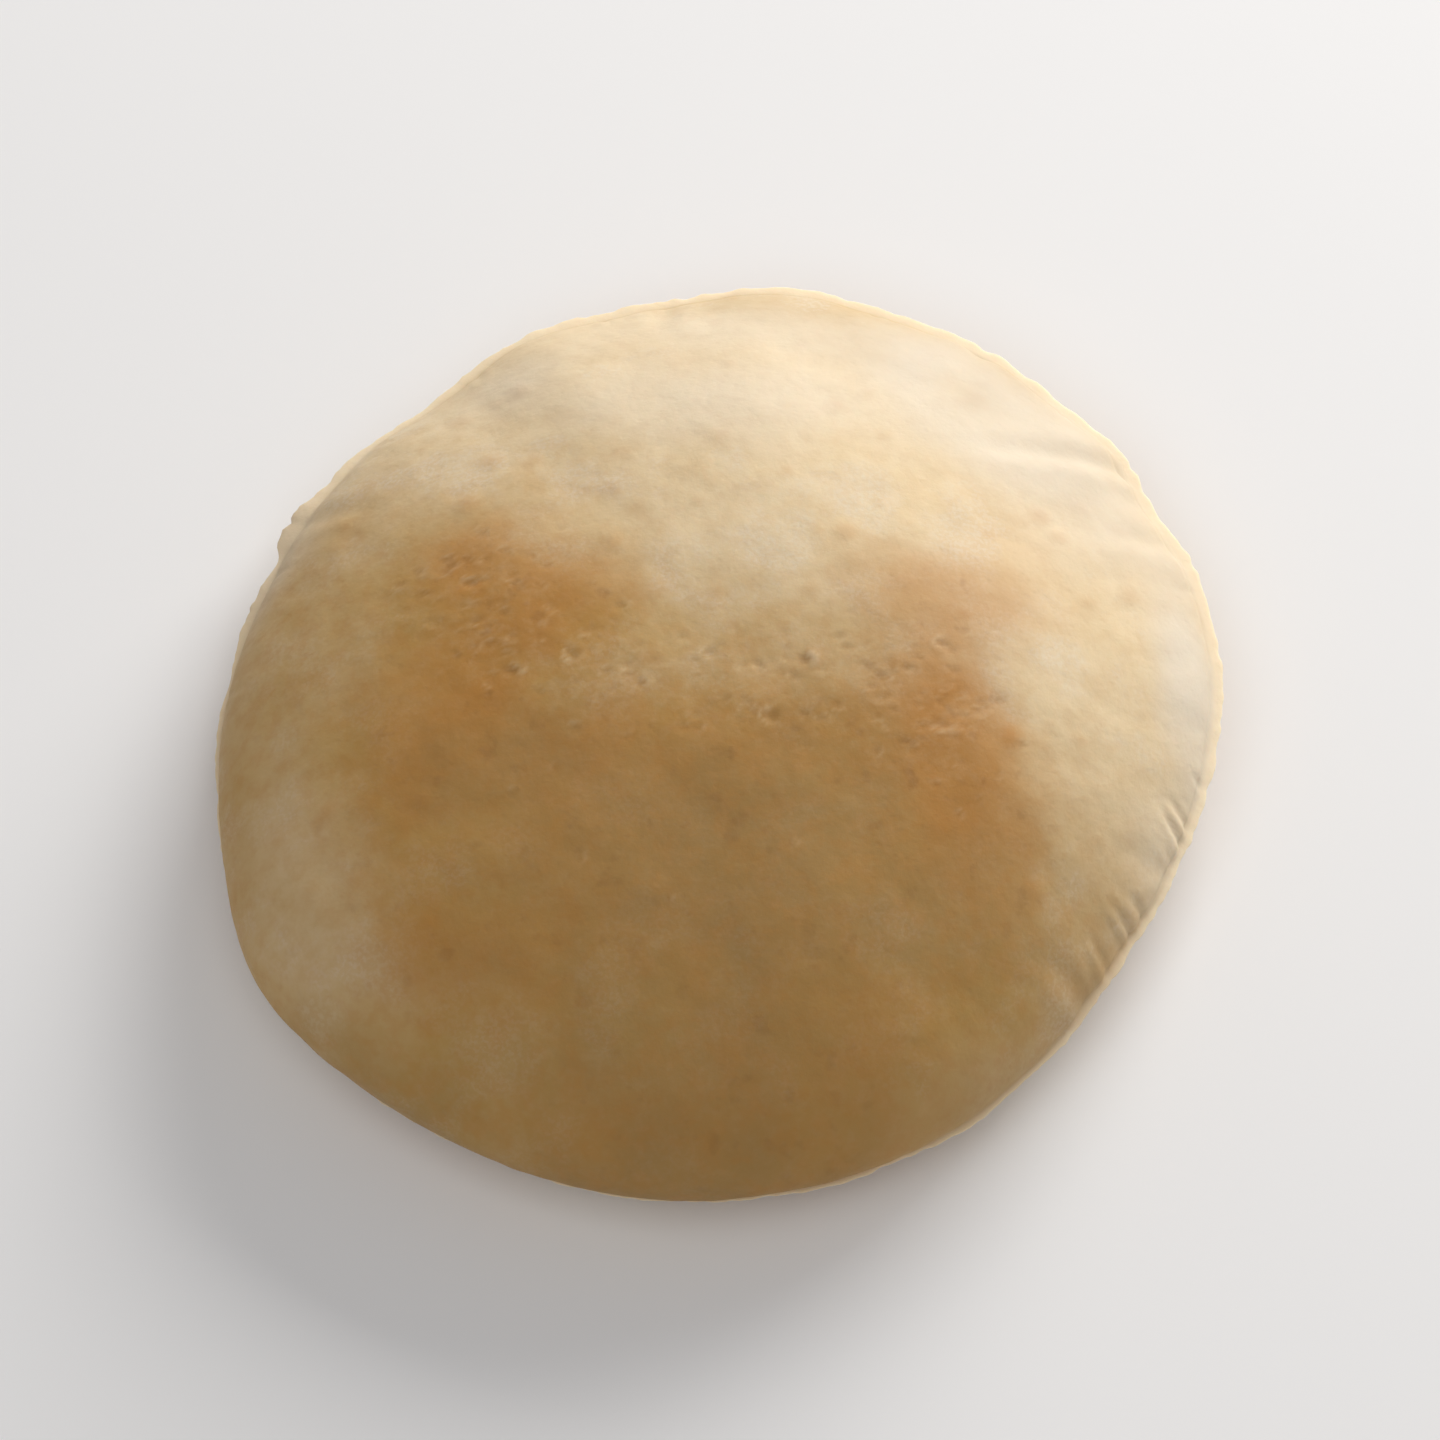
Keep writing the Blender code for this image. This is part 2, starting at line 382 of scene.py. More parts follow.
class BreadShape(bpy.types.PropertyGroup):
    """The sizes of the round, as its solid has them, and of its skin's finer relief."""

    long_radius: FloatProperty(
        name="Long radius", description="Seam radius along the oval", default=0.0770, unit="LENGTH"
    )
    short_radius: FloatProperty(
        name="Short radius", description="Seam radius across it", default=0.0711, unit="LENGTH"
    )
    long_heading: FloatProperty(
        name="Oval heading",
        description="Where the long radius points",
        default=math.radians(52),
        subtype="ANGLE",
    )
    height: FloatProperty(
        name="Height", description="From the table to the crown", default=0.0415, unit="LENGTH"
    )
    full_heading: FloatProperty(
        name="Full side",
        description="Where the round is blown up most",
        default=math.radians(247),
        subtype="ANGLE",
    )
    seam_slack: FloatProperty(
        name="Seam, slack side", description="Height of the seam", default=0.0135, unit="LENGTH"
    )
    seam_full: FloatProperty(
        name="Seam, full side", description="Height of the seam", default=0.0105, unit="LENGTH"
    )
    side_bulge: FloatProperty(
        name="Side bulge",
        description="How far the full side stands out over its seam",
        default=0.0230,
        unit="LENGTH",
    )
    lip_slack: FloatProperty(
        name="Lip, slack side", description="Reach of the seam's lip", default=0.0012, unit="LENGTH"
    )
    lip_full: FloatProperty(
        name="Lip, full side", description="Reach of the seam's lip", default=0.0009, unit="LENGTH"
    )
    wave_height: FloatProperty(
        name="Waves", description="Height of the skin's slow waves", default=0.0009, unit="LENGTH"
    )
    crown_cells: IntProperty(
        name="Crown cells",
        description="Squares along a side of the ball's faces",
        default=164,
        min=8,
    )
    underside_rings: IntProperty(
        name="Underside rings", description="Rings of the underside", default=26, min=4
    )


class CrustLooks(bpy.types.PropertyGroup):
    """The colours and the fine grain of the crust."""

    pale: FloatVectorProperty(
        name="Pale skin", description="Floured skin near the seam", subtype="COLOR",
        default=(0.710, 0.560, 0.350), min=0, max=1,
    )
    golden: FloatVectorProperty(
        name="Golden skin", description="Baked skin of the crown", subtype="COLOR",
        default=(0.475, 0.288, 0.090), min=0, max=1,
    )
    brown: FloatVectorProperty(
        name="Toasted skin", description="Toasted patches", subtype="COLOR",
        default=(0.452, 0.202, 0.042), min=0, max=1,
    )
    # Also the painted shade in the popped bubbles' hollows.
    dark: FloatVectorProperty(
        name="Scorched dots", description="Small dark dots of the toasted skin", subtype="COLOR",
        default=(0.21, 0.092, 0.028), min=0, max=1,
    )
    rim: FloatVectorProperty(
        name="Rim", description="Pale skin of the seam's lip", subtype="COLOR",
        default=(0.90, 0.75, 0.53), min=0, max=1,
    )
    # Duller skin: partly drier baked skin, partly painted shade over the front, its lower edge, the
    # left flange and the back rim.
    dull_and_painted_shade: FloatVectorProperty(
        name="Dull skin", description="Drier baked skin of the front", subtype="COLOR",
        default=(0.318, 0.199, 0.069), min=0, max=1,
    )
    flour: FloatVectorProperty(
        name="Flour", description="Dry flour left on the skin", subtype="COLOR",
        default=(0.72, 0.665, 0.575), min=0, max=1,
    )
    roughness: FloatProperty(
        name="Roughness", description="Roughness of bare baked skin", default=0.66, min=0, max=1
    )
    pore_size: FloatProperty(
        name="Pore size", description="Spacing of the skin's pores", default=0.0016, unit="LENGTH"
    )
    pore_depth: FloatProperty(
        name="Pore depth", description="Depth of the skin's pores", default=0.00009, unit="LENGTH"
    )


class StudioSetting(bpy.types.PropertyGroup):
    """The floor, the light and the camera."""

    floor_colour: FloatVectorProperty(
        name="Floor", description="Colour of the floor", subtype="COLOR",
        default=(0.90, 0.90, 0.905), min=0, max=1,
    )
    camera_elevation: FloatProperty(
        name="Camera elevation",
        description="How steeply the camera looks down on the round",
        default=math.radians(62),
        subtype="ANGLE",
    )
    camera_distance: FloatProperty(
        name="Camera distance", description="From the round", default=1.5, unit="LENGTH"
    )
    frame_width: FloatProperty(
        name="Frame width", description="What the camera sees across", default=0.214, unit="LENGTH"
    )
    key_heading: FloatProperty(
        name="Key heading", description="Where the key light stands", subtype="ANGLE",
        default=math.radians(58),
    )
    key_elevation: FloatProperty(
        name="Key elevation", description="How high the key light stands", subtype="ANGLE",
        default=math.radians(21.5),
    )
    key_power: FloatProperty(
        name="Key power", description="Power of the key light", default=22.1, unit="POWER"
    )
    fill_power: FloatProperty(
        name="Fill power", description="Power of the overhead fill", default=7.8, unit="POWER"
    )
    sky_strength: FloatProperty(
        name="Sky strength", description="Even light from all round", default=0.25, min=0
    )


# The round's form. Each function takes and gives arrays, one entry for each corner of the mesh.


def mix(a, b, share):
    return a + (b - a) * share


def bump(distance, width):
    """1 at no distance, falling smoothly to nothing over about twice the width."""
    return np.exp(-((distance / width) ** 2))


def turn_between(heading, other):
    """The turn from other to heading, from -pi to pi."""
    return (heading - other + math.pi) % math.tau - math.pi


def noise_at(places, size, start=WAVE_START):
    """Smooth noise from about -1 to 1 at each place, in lumps of about this size."""
    return np.array([noise.noise(Vector(place) / size + start) for place in places])


def smooth_step(low, high, value):
    share = np.clip((value - low) / (high - low), 0.0, 1.0)
    return share * share * (3 - 2 * share)


def fullness(shape, heading):
    """1 on the side where the round is blown up full, 0 on the opposite, slack side."""
    return 0.5 + 0.5 * np.cos(heading - shape.full_heading)


def rim_radius(shape, heading):
    """From the middle to the seam: an oval with soft corners and a few short flats."""
    along = shape.long_radius * np.sin(heading - shape.long_heading)
    across = shape.short_radius * np.cos(heading - shape.long_heading)
    radius = shape.long_radius * shape.short_radius / np.hypot(along, across)
    for middle, spread, rise in OUTLINE_SWELLS:
        off = turn_between(heading, math.radians(middle))
        radius = radius + rise * bump(off, math.radians(spread))
    return radius


def seam_height(shape, heading):
    return mix(shape.seam_slack, shape.seam_full, fullness(shape, heading))


def crown_height(shape, heading, reach):
    """The crown over the table: a dome, blunter on the full side than on the slack side."""
    full = fullness(shape, heading)
    corner = mix(*CROWN_CORNERS, full)
    power = mix(*CROWN_POWERS, full)
    return mix(seam_height(shape, heading), shape.height, (1 - reach**corner) ** power)


def underside_height(shape, heading, reach):
    """The underside over the table: a flat foot that turns up to the seam."""
    rise = np.clip(reach - FOOT_REACH, 0.0, None) / (1 - FOOT_REACH)
    return seam_height(shape, heading) * (1 - (1 - rise**FOOT_CORNER) ** FOOT_POWER)


def body_points(shape, directions):
    """The plain pillow: the point of its surface in each direction from inside the round."""
    heading = np.arctan2(directions[:, 1], directions[:, 0])
    reach = np.clip(np.hypot(directions[:, 0], directions[:, 1]), 0.0, 1.0)
    up = np.clip(directions[:, 2], 0.0, None)
    out = rim_radius(shape, heading) * reach
    out = out + shape.side_bulge * fullness(shape, heading) ** BULGE_FOCUS * reach**2 * up
    crown = crown_height(shape, heading, reach)
    under = underside_height(shape, heading, reach)
    z = np.where(directions[:, 2] >= 0, crown, under)
    return np.stack([out * np.cos(heading), out * np.sin(heading), z], axis=1)


def distance_to_seam(shape, points, heading):
    """How far each point of the pillow lies from the seam, across the rim."""
    out = np.hypot(points[:, 0], points[:, 1]) - rim_radius(shape, heading)
    return np.hypot(out, points[:, 2] - seam_height(shape, heading))


def fold_relief(shape, points, folds, width):
    """Valleys that start at the seam and die out inwards, with a low shoulder on each side."""
    relief = np.zeros(len(points))
    for heading, slant, length, depth in folds:
        heading, slant = math.radians(heading), math.radians(slant)
        start = rim_radius(shape, heading) * np.array([math.cos(heading), math.sin(heading)])
        run = -np.array([math.cos(heading + slant), math.sin(heading + slant)])
        offset = points[:, :2] - start
        along = offset @ run / length
        across = offset @ np.array([-run[1], run[0]])
        reached = (along > FOLD_OVERRUN) & (along < 1.0)
        fade = np.where(reached, 1 - np.clip(along, 0, 1) ** 2, 0.0)
        shoulders = bump(np.abs(across) - 2 * width, width)
        relief += depth * fade * (SHOULDER_SHARE * shoulders - bump(across, width))
    return relief


def crown_relief(shape, points, seam_distance, heading):
    """The crown's swells and creases, and the groove along the seam."""
    relief = CREASE_SHARE * fold_relief(shape, points, CREASES, CREASE_WIDTH)
    relief += PINCH_SHARE * fold_relief(shape, points, PINCHES, PINCH_WIDTH)
    for x, y, width, rise in CROWN_SWELLS:
        relief += rise * bump(np.hypot(points[:, 0] - x, points[:, 1] - y), width)
    depth = mix(*GROOVE_DEPTHS, fullness(shape, heading))
    relief -= depth * bump(seam_distance - GROOVE_OFFSET, GROOVE_WIDTH)
    return relief * smooth_step(0.0, FADE_IN, seam_distance)


def lip_flaps(heading):
    """How much more than elsewhere the lip stands out."""
    reach = np.zeros(len(heading))
    for middle, spread, rise in LIP_FLAPS:
        reach += rise * bump(turn_between(heading, math.radians(middle)), math.radians(spread))
    return reach


def lip_reach(shape, heading):
    """How far the seam's lip stands out: uneven, as two skins pressed together are."""
    places = np.stack([np.cos(heading), np.sin(heading), 0 * heading], axis=1) * shape.long_radius
    reach = mix(shape.lip_slack, shape.lip_full, fullness(shape, heading)) + lip_flaps(heading)
    for middle, _, _, depth in CREASES + PINCHES:
        notch = min(NOTCH_MOST, NOTCH_PER_DEPTH * depth)
        off = turn_between(heading, math.radians(middle))
        reach = reach * (1 - notch * bump(off, NOTCH_SPREAD))
    ragged = sum(share * noise_at(places, size) for share, size in LIP_WAVES)
    return reach * (1 + ragged)


def skin_relief(points, seam_distance, grain, up):
    """The small unevenness of baked skin: fine lumps, and wrinkles that run in at the rim."""
    fine = sum(height * noise_at(points, size, start) for height, size, start in FINE_LUMPS)
    heading = np.arctan2(points[:, 1], points[:, 0])
    x, y = np.cos(heading) * WRINKLE_RADIUS, np.sin(heading) * WRINKLE_RADIUS
    places = np.stack([x, y, WRINKLE_STRETCH * seam_distance], axis=1)
    near_rim = bump(seam_distance - WRINKLE_OFFSET, WRINKLE_REACH)
    wrinkles = noise_at(places, WRINKLE_SPACING, WRINKLE_START)
    fine += WRINKLE_HEIGHT * near_rim * wrinkles * np.where(up, 1.0, WRINKLE_UNDER)
    height, size, start = GRAIN_LUMPS
    fine += height * grain * noise_at(points, size, start)
    return fine


# The mesh. The cells of the ball gather a little towards the seam, the underside's last ring
# stands at this angle under it, and corners and faces are numbered along this axis.

CELL_EVEN, CELL_GATHER = 0.8, 0.2
LAST_RING = math.radians(86)
ORDER_AXIS = Vector((0.531, 0.277, 0.801))


def upper_ball(form, cells):
    """Half a ball of even square cells, whose open edge is its equator."""
    bmesh.ops.create_cube(form, size=2.0)
    bmesh.ops.subdivide_edges(form, edges=form.edges[:], cuts=cells - 1, use_grid_fill=True)
    below = [corner for corner in form.verts if corner.co.z < -0.5 / cells]
    bmesh.ops.delete(form, geom=below, context="VERTS")
    for corner in form.verts:
        sides = (side * (CELL_EVEN + CELL_GATHER * side**2) for side in corner.co)
        corner.co = Vector([math.tan(side * math.pi / 4) for side in sides]).normalized()


def add_underside(form, rings):
    """Rings that lead from the open edge in under the round, and a small face in the middle."""
    edge = [side for side in form.edges if side.is_boundary]
    for ring in range(1, rings + 1):
        slope = LAST_RING * ring / rings
        added = bmesh.ops.extrude_edge_only(form, edges=edge)["geom"]
        edge = [item for item in added if isinstance(item, bmesh.types.BMEdge) and item.is_boundary]
        for corner in {corner for side in edge for corner in side.verts}:
            level = Vector((corner.co.x, corner.co.y, 0.0)).normalized()
            corner.co = math.cos(slope) * level - math.sin(slope) * Vector((0, 0, 1))
    bmesh.ops.holes_fill(form, edges=edge, sides=len(edge))


def ball_mesh(name, cells, rings):
    """The ball's mesh, its corners and faces put in the same order each time."""
    form = bmesh.new()
    upper_ball(form, cells)
    add_underside(form, rings)
    form.verts.sort(key=lambda corner: corner.co.dot(ORDER_AXIS))
    form.faces.sort(key=lambda face: face.calc_center_median().dot(ORDER_AXIS))
    bmesh.ops.recalc_face_normals(form, faces=form.faces[:])
    mesh = bpy.data.meshes.new(name)
    form.to_mesh(mesh)
    form.free()
    mesh.shade_smooth()
    return mesh


def corner_points(mesh):
    points = np.empty(len(mesh.vertices) * 3, np.float32)
    mesh.vertices.foreach_get("co", points)
    return points.reshape(-1, 3).astype(float)


def move_corners(mesh, points):
    mesh.vertices.foreach_set("co", points.astype(np.float32).ravel())
    mesh.update()


def corner_normals(mesh):
    normals = np.empty(len(mesh.vertices) * 3, np.float32)
    mesh.vertex_normals.foreach_get("vector", normals)
    return normals.reshape(-1, 3).astype(float)


def fit_to_box(points, low, high):
    """Scales and moves the points so that they just fill the solid's box."""
    lowest, highest = points.min(axis=0), points.max(axis=0)
    scale = (np.array(high) - np.array(low)) / (highest - lowest)
    return (points - lowest) * scale + np.array(low)


def seam_steadied(normals, seam_distance, heading):
    """The normals, turned level outwards near the seam so that its two skins move together."""
    level = np.stack([np.cos(heading), np.sin(heading), np.zeros(len(heading))], axis=1)
    away = smooth_step(*SEAM_EDGE, seam_distance)[:, None]
    turned = mix(level, normals, away)
    return turned / np.linalg.norm(turned, axis=1)[:, None]


def add_mask(mesh, name, values):
    attribute = mesh.attributes.new(name, "FLOAT", "POINT")
    attribute.data.foreach_set("value", values.astype(np.float32))


def blisters(shape):
    """Where the blisters are: x, y, radius and height of each."""
    draw = random.Random(BLISTER_SEED)
    places = []
    for _ in range(BLISTER_COUNT):
        heading = draw.uniform(0, math.tau)
        out = rim_radius(shape, heading) * BLISTER_SPREAD * math.sqrt(draw.random())
        size = draw.random() ** 2
        radius = mix(*BLISTER_RADII, size)
        height = mix(*BLISTER_HEIGHTS, size) * draw.uniform(BLISTER_LOWEST, 1.0)
        places.append((out * math.cos(heading), out * math.sin(heading), radius, height))
    return places


def popped_bubbles():
    """Where the popped bubbles are: the large ones and small ones strewn over the grainy part.

    Each is x, y, radius, depth and the heading of the side where its torn skin stands up.
    """
    draw = random.Random(BLISTER_SEED)
    places = [(*pit, draw.uniform(0, math.tau)) for pit in PITS]
    for _ in range(POPPED_COUNT):
        x, y, long, wide, turn, _ = draw.choice(GRAINY_PATCHES)
        along = draw.gauss(0, POPPED_SPREAD) * long
        across = draw.gauss(0, POPPED_SPREAD) * wide
        cos, sin = math.cos(math.radians(turn)), math.sin(math.radians(turn))
        size = draw.random()
        place = (x + along * cos - across * sin, y + along * sin + across * cos)
        torn = draw.uniform(0, math.tau)
        places.append((*place, mix(*POPPED_RADII, size), mix(*POPPED_DEPTHS, size), torn))
    return places


def near_spot(points, x, y, radius):
    """The points within a spot on the crown, and their distance from its middle, 1 at its edge."""
    off_x, off_y = points[:, 0] - x, points[:, 1] - y
    near = np.flatnonzero((np.abs(off_x) < radius) & (np.abs(off_y) < radius))
    return near, np.hypot(off_x[near], off_y[near]) / radius


def blister_relief(shape, points):
    """The blisters' height over the skin, with the popped ones sunk.

    The masks are of the blisters' tops, of the popped ones' torn edges, and of their hollow
    insides, which the materials darken as painted shade.
    """
    relief = np.zeros(len(points))
    tops, hollows, flakes = (np.zeros(len(points)) for _ in range(3))
    ragged = noise_at(points, RAGGED_SIZE, RAGGED_START)
    for x, y, radius, height in blisters(shape):
        near, distance = near_spot(points, x, y, radius)
        dome = np.clip(1 - distance**2, 0, 1) ** 2
        relief[near] += height * dome
        tops[near] = np.maximum(tops[near], dome * height / BLISTER_HEIGHTS[1])
    for x, y, radius, depth, torn in popped_bubbles():
        near, distance = near_spot(points, x, y, radius)
        inside = 1 - smooth_step(SPOT_FADE, 1.0, distance)
        along, across = (points[near, 0] - x) / radius, (points[near, 1] - y) / radius
        distance = np.hypot(along, POPPED_STRETCH * across) + TORN_RAGGED * ragged[near]
        around = np.arctan2(across, along) - torn
        raised = smooth_step(*TORN_SIDE, np.cos(around))
        edge = bump(distance - TORN_OFFSET, TORN_WIDTH) * raised * inside
        hollow = bump(distance, HOLLOW_WIDTH) * inside
        relief[near] += POPPED_RISE * depth * (TORN_RISE * edge - hollow)
        share = depth / PITS_DEEPEST
        hollows[near] = np.maximum(hollows[near], share * hollow)
        flakes[near] = np.maximum(flakes[near], share * edge)
    return relief, tops, hollows, flakes


def patches_mask(points, patches, ragged):
    """Soft oval patches laid over one another, with ragged edges."""
    mask = np.zeros(len(points))
    for x, y, long, wide, turn, strength in patches:
        cos, sin = math.cos(math.radians(turn)), math.sin(math.radians(turn))
        along = (points[:, 0] - x) * cos + (points[:, 1] - y) * sin
        across = (points[:, 1] - y) * cos - (points[:, 0] - x) * sin
        distance = np.hypot(along / long, across / wide) + ragged
        mask = 1 - (1 - mask) * (1 - strength * (1 - smooth_step(*PATCH_FADE, distance)))
    return mask


def toast_mask(points, tops, up):
    """How toasted each point is: the crown's patches and blisters, or the underside's blotches; one
    broad patch over the front is partly painted shade.
    """
    ragged = sum(share * noise_at(points, size, start) for share, size, start in TOAST_WAVES)
    toast = patches_mask(points, TOAST_PATCHES, ragged)
    toast = np.clip(toast + TOAST_ON_TOPS * tops, 0, 1)
    middle, swing, size, start = UNDER_TOAST
    under = middle + swing * noise_at(points, size, start) + UNDER_RAGGED * ragged
    return np.where(up, toast, np.clip(under, 0, 1))


def flour_mask(points, seam_distance, heading, up):
    """Where dry flour lies as a film: in patches and on the lip's flaps, and a little under; one
    patch behind the middle is partly painted light.
    """
    share, size, start = FILM_WAVES
    uneven = noise_at(points, size, start)
    film = patches_mask(points, FLOUR_PATCHES, share * uneven)
    flaps = np.clip(lip_flaps(heading) / FLAP_FULL, 0, 1) * bump(seam_distance, FLAP_FILM_WIDTH)
    film = 1 - (1 - film) * (1 - FLAP_FILM * flaps)
    middle, swing = UNDER_FILM
    return np.where(up, film, np.clip(middle + swing * uneven, 0, 1))


def pallor_and_painted_light_mask(shape, points, seam_distance, heading, up):
    """How pale the skin is: cream over the back and the floury patches, golden elsewhere; the
    back's cream is partly painted light towards the key light, one patch is painted light, and the
    rim's paleness stops at the front as painted shade.
    """
    slack = points[:, 0] * math.cos(BACK_HEADING) + points[:, 1] * math.sin(BACK_HEADING)
    out = np.hypot(points[:, 0], points[:, 1])
    share, size, start = PALE_WAVES
    uneven = noise_at(points, size, start)
    back = slack + BACK_OUT * out + BACK_UNEVEN * uneven
    # The pale back, on the side towards the key light: partly paler crust, partly painted light.
    back = BACK_STRENGTH * smooth_step(*BACK_RISE, back)
    patches = patches_mask(points, PALE_PATCHES, share * uneven)
    front = smooth_step(*FRONT_FULLNESS, fullness(shape, heading))
    # The pale rim stops at the front, which leaves the front edge darker: painted shade.
    rim = RIM_STRENGTH * bump(seam_distance, RIM_WIDTH) * (1 - front)
    crown = 1 - (1 - back) * (1 - patches) * (1 - rim)
    middle, swing = UNDER_PALLOR
    under = UNDER_RIM * bump(seam_distance, UNDER_RIM_WIDTH) + middle + swing * uneven
    return np.where(up, crown, np.clip(under, 0, 1))


def seam_mask(seam_distance, heading):
    """The lip's pale line, wider on the flaps and fainter there as painted shadow."""
    flaps = np.clip(lip_flaps(heading), 0, None)
    # Painted shadow: the line fades on the flaps.
    painted_shadow = np.clip(LINE_PAINTED_SHADOW * flaps, 0, LINE_PAINTED_SHADOW_MOST)
    return bump(seam_distance, LINE_WIDTH + flaps) * (1 - painted_shadow)


def ragged_patches(points, patches, waves):
    """Soft patches whose edges are ragged by this share of noise of this size."""
    share, size = waves
    return patches_mask(points, patches, share * noise_at(points, size))


def lip_offset(shape, seam_distance, heading, up):
    """How far the seam's lip moves each corner: outwards and a little down."""
    thickness = np.where(up, *LIP_THICKNESSES)
    width = np.clip(lip_flaps(heading), 0, None) * FLAP_THICKNESS + thickness
    lip = lip_reach(shape, heading) * bump(seam_distance, width)
    drop = -LIP_DROP * np.ones(len(heading))
    outwards = np.stack([np.cos(heading), np.sin(heading), drop], axis=1)
    return lip[:, None] * outwards


def bake_round(shape):
    """The bread's mesh, with the masks that its materials read."""
    mesh = ball_mesh("pita_crust", shape.crown_cells, shape.underside_rings)
    directions = corner_points(mesh)
    up = directions[:, 2] >= 0
    body = body_points(shape, directions)
    heading = np.arctan2(directions[:, 1], directions[:, 0])
    seam_distance = distance_to_seam(shape, body, heading)
    move_corners(mesh, body)
    normals = seam_steadied(corner_normals(mesh), seam_distance, heading)
    waves = shape.wave_height * noise_at(body, WAVE_SIZE)
    crown = waves + crown_relief(shape, body, seam_distance, heading)
    under = waves * body[:, 2] / seam_height(shape, heading)
    clearance = np.where(up, 1.0, smooth_step(0.0, TABLE_CLEARANCE, body[:, 2]))
    grain = ragged_patches(body, GRAINY_PATCHES, GRAIN_WAVES) * up
    raised, tops, hollows, flakes = blister_relief(shape, body)
    crown += raised
    relief = np.where(directions[:, 2] > 0, crown, under)
    relief = (relief + skin_relief(body, seam_distance, grain, up)) * clearance
    lip = lip_offset(shape, seam_distance, heading, up)
    points = body + relief[:, None] * normals + lip
    points[:, 2] = np.clip(points[:, 2], 0, None)
    points = fit_to_box(points, LOWEST, HIGHEST)
    move_corners(mesh, points)
    masks = (
        toast_mask(points, tops, up),
        pallor_and_painted_light_mask(shape, points, seam_distance, heading, up),
        seam_mask(seam_distance, heading),
        flour_mask(points, seam_distance, heading, up),
        ragged_patches(points, DULL_AND_SHADE_PATCHES, DULL_AND_SHADE_WAVES) * up,
        grain,
        # The popped bubbles' hollows, darkened as painted shade.
        hollows * up,
        flakes * up,
    )
    for name, values in zip(MASKS, masks):
        add_mask(mesh, name, values)
    return mesh, up


# Materials.

# Patterns of the skin and of the flour: noise scale for each metre, detail, roughness, and from
# which to which value of the noise the mask rises.
PATTERNS = {
    "Clouds": (70.0, 4.0, 0.6, 0.36, 0.64),
    "Flecks": (300.0, 4.0, 0.65, 0.40, 0.66),
    "Specks": (560.0, 3.0, 0.6, 0.42, 0.74),
    "Scorch": (270.0, 2.0, 0.5, 0.60, 0.74),
}
FLOUR_CLOUDS = (95.0, 3.0, 0.55, 0.42, 0.68)
FLOUR_GRAINS = (1500.0, 2.0, 0.5, 0.44, 0.62)

# Pores: the noise's detail and roughness, from where to where a pore's side rises, how deep it
# is against the noise, how large its dark dot is, and which of the pores have one.
PORE_DETAIL, PORE_ROUGHNESS = 5.0, 0.62
PORE_SIDE = (0.05, 0.42)
PORE_SHARE = 0.18
DOT_EDGE = (0.38, 0.12)
DOTTED = (0.66, 0.90)

# How much of the flour lies in grains and how much between them, its share on golden skin, and
# its share as the skin gets toasted: from which to which toast, and from which to which share.
GRAINS_SHARE, GRAINS_REST = 0.6, 0.4
FLOUR_ON_GOLDEN = 0.3
FLOUR_ON_TOAST = (0.0, 0.8, 1.0, 0.15)

# How strongly each pattern shows: what a mask adds and what is there without it.
CLOUD_SWING = 0.07
FLECK_STRENGTH = (0.26, 0.09)
DOT_ON_TOAST, DOT_PLAIN = 0.12, 0.03
SCORCH_ON_TOAST, SCORCH_PLAIN = 0.24, 0.055
SPECKS_ON_GRAIN, SPECKS_PLAIN = 0.09, 0.035
# Painted shade in the popped bubbles' hollows.
HOLLOW_PAINTED_SHADE = 0.28
FLAKE_PALENESS = 0.34
RIM_SHARE = 0.85
FLOURED_ROUGHNESS, ROUGH_AT = 0.86, 0.6
FLOUR_AMOUNTS = {"crown_crust": 0.35, "underside_crust": 0.45}


def new_group(name, inputs, outputs):
    """An empty node group with these named sockets, and its input and output nodes."""
    group = bpy.data.node_groups.new(name, "ShaderNodeTree")
    for label, kind, default in inputs:
        socket = group.interface.new_socket(label, in_out="INPUT", socket_type=kind)
        if default is not None:
            socket.default_value = default
    for label, kind in outputs:
        group.interface.new_socket(label, in_out="OUTPUT", socket_type=kind)
    return group, group.nodes.new("NodeGroupInput"), group.nodes.new("NodeGroupOutput")


def range_node(tree, value, low, high, to_low=0.0, to_high=1.0, smooth=True):
    node = tree.nodes.new("ShaderNodeMapRange")
    node.interpolation_type = "SMOOTHSTEP" if smooth else "LINEAR"
    limits = {"From Min": low, "From Max": high, "To Min": to_low, "To Max": to_high}
    for label, number in limits.items():
        node.inputs[label].default_value = number
    tree.links.new(value, node.inputs["Value"])
    return node.outputs["Result"]


def pattern_node(tree, vector, pattern):
    """A mask of noise, rising where the pattern says."""
    scale, detail, roughness, low, high = pattern
    node = tree.nodes.new("ShaderNodeTexNoise")
    node.inputs["Scale"].default_value = scale
    node.inputs["Detail"].default_value = detail
    node.inputs["Roughness"].default_value = roughness
    tree.links.new(vector, node.inputs["Vector"])
    return range_node(tree, node.outputs["Fac"], low, high)


def math_node(tree, operation, first, second, clamp=False):
    node = tree.nodes.new("ShaderNodeMath")
    node.operation = operation
    node.use_clamp = clamp
    for socket, value in zip(node.inputs, (first, second)):
        if isinstance(value, (int, float)):
            socket.default_value = value
        else:
            tree.links.new(value, socket)
    return node.outputs["Value"]


def strength_node(tree, mask, added, plain):
    """A strength that is plain without the mask, and more where the mask is."""
    return math_node(tree, "ADD", math_node(tree, "MULTIPLY", mask, added), plain)


def mix_node(tree, share, first, colour):
    """The first colour, a socket or plain numbers, with this share of a plain colour over it."""
    node = tree.nodes.new("ShaderNodeMix")
    node.data_type = "RGBA"
    sockets = {(socket.name, socket.type): socket for socket in node.inputs}
    tree.links.new(share, sockets["Factor", "VALUE"])
    if isinstance(first, tuple):
        sockets["A", "RGBA"].default_value = first
    else:
        tree.links.new(first, sockets["A", "RGBA"])
    sockets["B", "RGBA"].default_value = rgba(colour)
    return next(socket for socket in node.outputs if socket.type == "RGBA")


